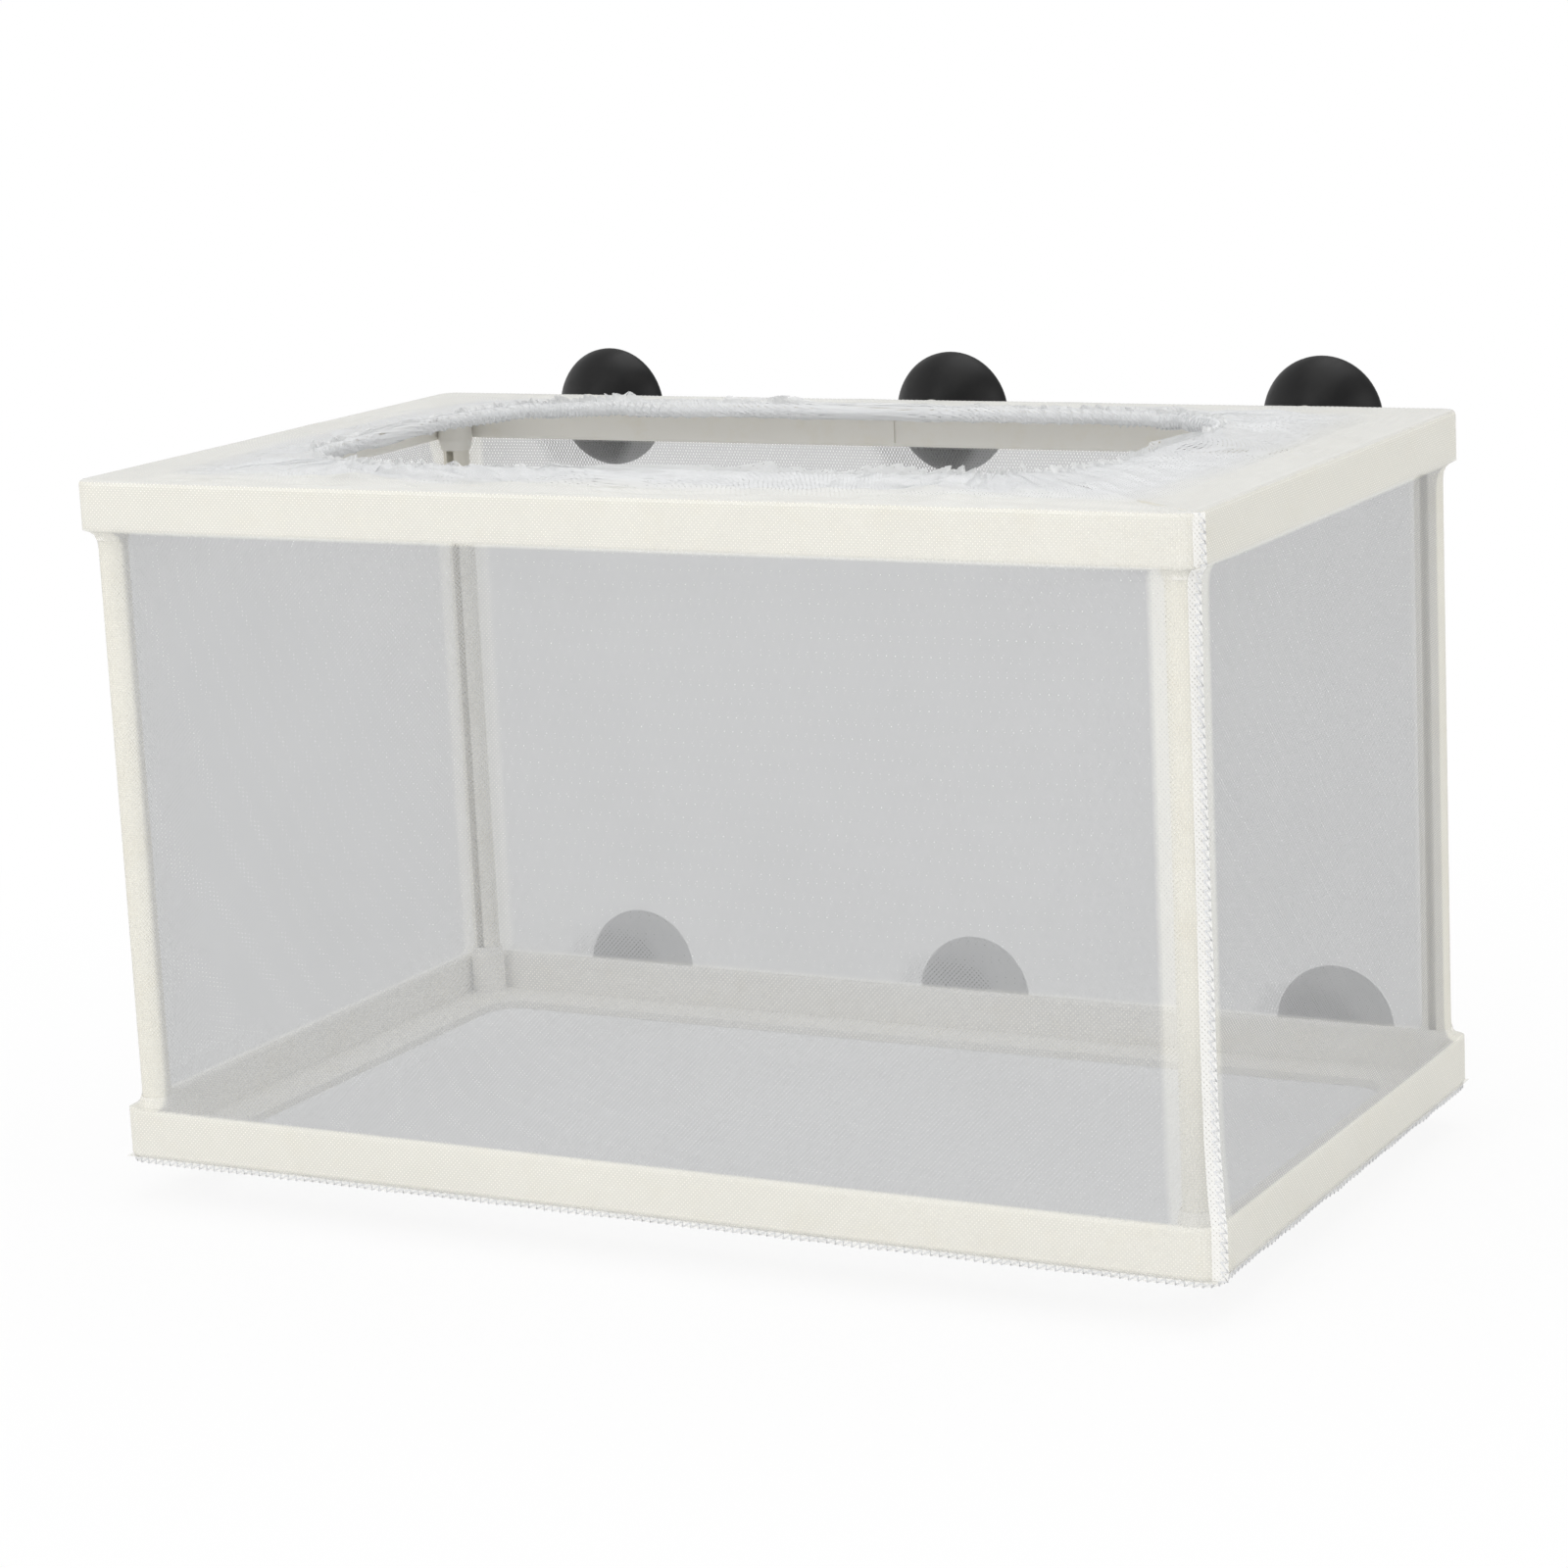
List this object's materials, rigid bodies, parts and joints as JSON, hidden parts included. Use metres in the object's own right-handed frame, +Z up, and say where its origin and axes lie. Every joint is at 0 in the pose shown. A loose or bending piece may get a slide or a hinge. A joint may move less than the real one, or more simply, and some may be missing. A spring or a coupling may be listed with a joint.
{
  "type": "fish breeding box",
  "caption": "Rectangular net box with moulded frames on grooved corner posts, a net bag gathered by an elastic at its mouth, and suction cups that hold it on a tank's glass.",
  "frame": {"origin": "middle of the plane in which the rims of the six suction cups meet the tank's glass", "axes": "+X to the right along the box's length seen from its front, +Y horizontally towards the glass, +Z up"},
  "size_m": [0.266, 0.1714, 0.173],
  "materials": {
    "frame_plastic": "injection-moulded off-white plastic, satin",
    "post_plastic": "extruded off-white plastic, satin",
    "net_fabric": "fine knitted tulle, see-through",
    "seam_fabric": "folded and stitched tulle",
    "elastic_cord": "white braided elastic",
    "cup_rubber": "soft black rubber, satin"
  },
  "bodies": {
    "box": {"top_frame": "frame_plastic", "bottom_frame": "frame_plastic", "post_front_left": "post_plastic", "post_front_right": "post_plastic", "post_rear_left": "post_plastic", "post_rear_right": "post_plastic", "net_front": "net_fabric", "net_rear": "net_fabric", "net_left": "net_fabric", "net_right": "net_fabric", "net_floor": "net_fabric", "net_collar": "net_fabric", "elastic_cord": "elastic_cord", "corner_seam": "seam_fabric", "floor_seam": "seam_fabric"},
    "cup_top_left": {"suction_cup_top_left": "cup_rubber"},
    "cup_top_middle": {"suction_cup_top_middle": "cup_rubber"},
    "cup_top_right": {"suction_cup_top_right": "cup_rubber"},
    "cup_bottom_left": {"suction_cup_bottom_left": "cup_rubber"},
    "cup_bottom_middle": {"suction_cup_bottom_middle": "cup_rubber"},
    "cup_bottom_right": {"suction_cup_bottom_right": "cup_rubber"}
  },
  "joints": [
    {"name": "cup_top_left_turn", "type": "hinge", "parent": "box", "child": "cup_top_left", "pos_m": [-0.094, 0, 0.072], "axis": [0, 1, 0], "continuous": true},
    {"name": "cup_top_middle_turn", "type": "hinge", "parent": "box", "child": "cup_top_middle", "pos_m": [0, 0, 0.072], "axis": [0, 1, 0], "continuous": true},
    {"name": "cup_top_right_turn", "type": "hinge", "parent": "box", "child": "cup_top_right", "pos_m": [0.094, 0, 0.072], "axis": [0, 1, 0], "continuous": true},
    {"name": "cup_bottom_left_turn", "type": "hinge", "parent": "box", "child": "cup_bottom_left", "pos_m": [-0.094, 0, -0.072], "axis": [0, 1, 0], "continuous": true},
    {"name": "cup_bottom_middle_turn", "type": "hinge", "parent": "box", "child": "cup_bottom_middle", "pos_m": [0, 0, -0.072], "axis": [0, 1, 0], "continuous": true},
    {"name": "cup_bottom_right_turn", "type": "hinge", "parent": "box", "child": "cup_bottom_right", "pos_m": [0.094, 0, -0.072], "axis": [0, 1, 0], "continuous": true}
  ]
}
